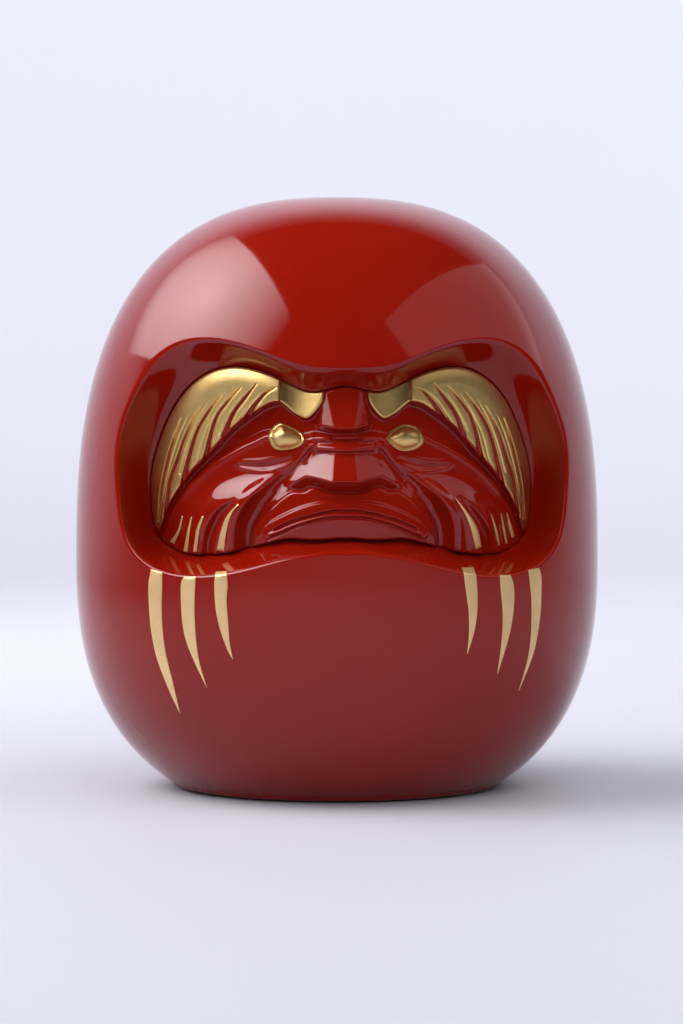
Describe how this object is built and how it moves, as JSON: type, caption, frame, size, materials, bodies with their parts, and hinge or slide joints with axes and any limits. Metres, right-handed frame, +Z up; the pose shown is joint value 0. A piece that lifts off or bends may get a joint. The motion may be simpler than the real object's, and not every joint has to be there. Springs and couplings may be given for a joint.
{
  "type": "daruma doll",
  "caption": "Squat egg-shaped lacquered doll with a scowling folk mask set in a recess, gilded brows and eyes, and gold brush strokes on cheeks and body.",
  "frame": {"origin": "middle of the underside, on the surface that the doll stands on", "axes": "+Z up, the face looks along -Y, and the viewer's left is -X"},
  "size_m": [0.1066, 0.1066, 0.12],
  "materials": {
    "red_lacquer": "gloss",
    "gilding": "satin",
    "fired_clay": "matte",
    "cover_board": "matte",
    "felt": "matte"
  },
  "bodies": {
    "root": {"body_front_shell": "red_lacquer", "body_back_shell": "red_lacquer", "face_mask": "red_lacquer", "brow_left": "gilding", "brow_right": "gilding", "eye_left": "gilding", "eye_right": "gilding", "cheek_stroke_left_1": "gilding", "cheek_stroke_left_2": "gilding", "cheek_stroke_left_3": "gilding", "cheek_stroke_left_4": "gilding", "cheek_stroke_right_1": "gilding", "cheek_stroke_right_2": "gilding", "cheek_stroke_right_3": "gilding", "cheek_stroke_right_4": "gilding", "beard_stroke_left_1": "gilding", "beard_stroke_left_2": "gilding", "beard_stroke_left_3": "gilding", "beard_stroke_right_1": "gilding", "beard_stroke_right_2": "gilding", "beard_stroke_right_3": "gilding", "ballast_weight": "fired_clay", "base_cover": "cover_board", "base_felt": "felt"}
  },
  "joints": []
}
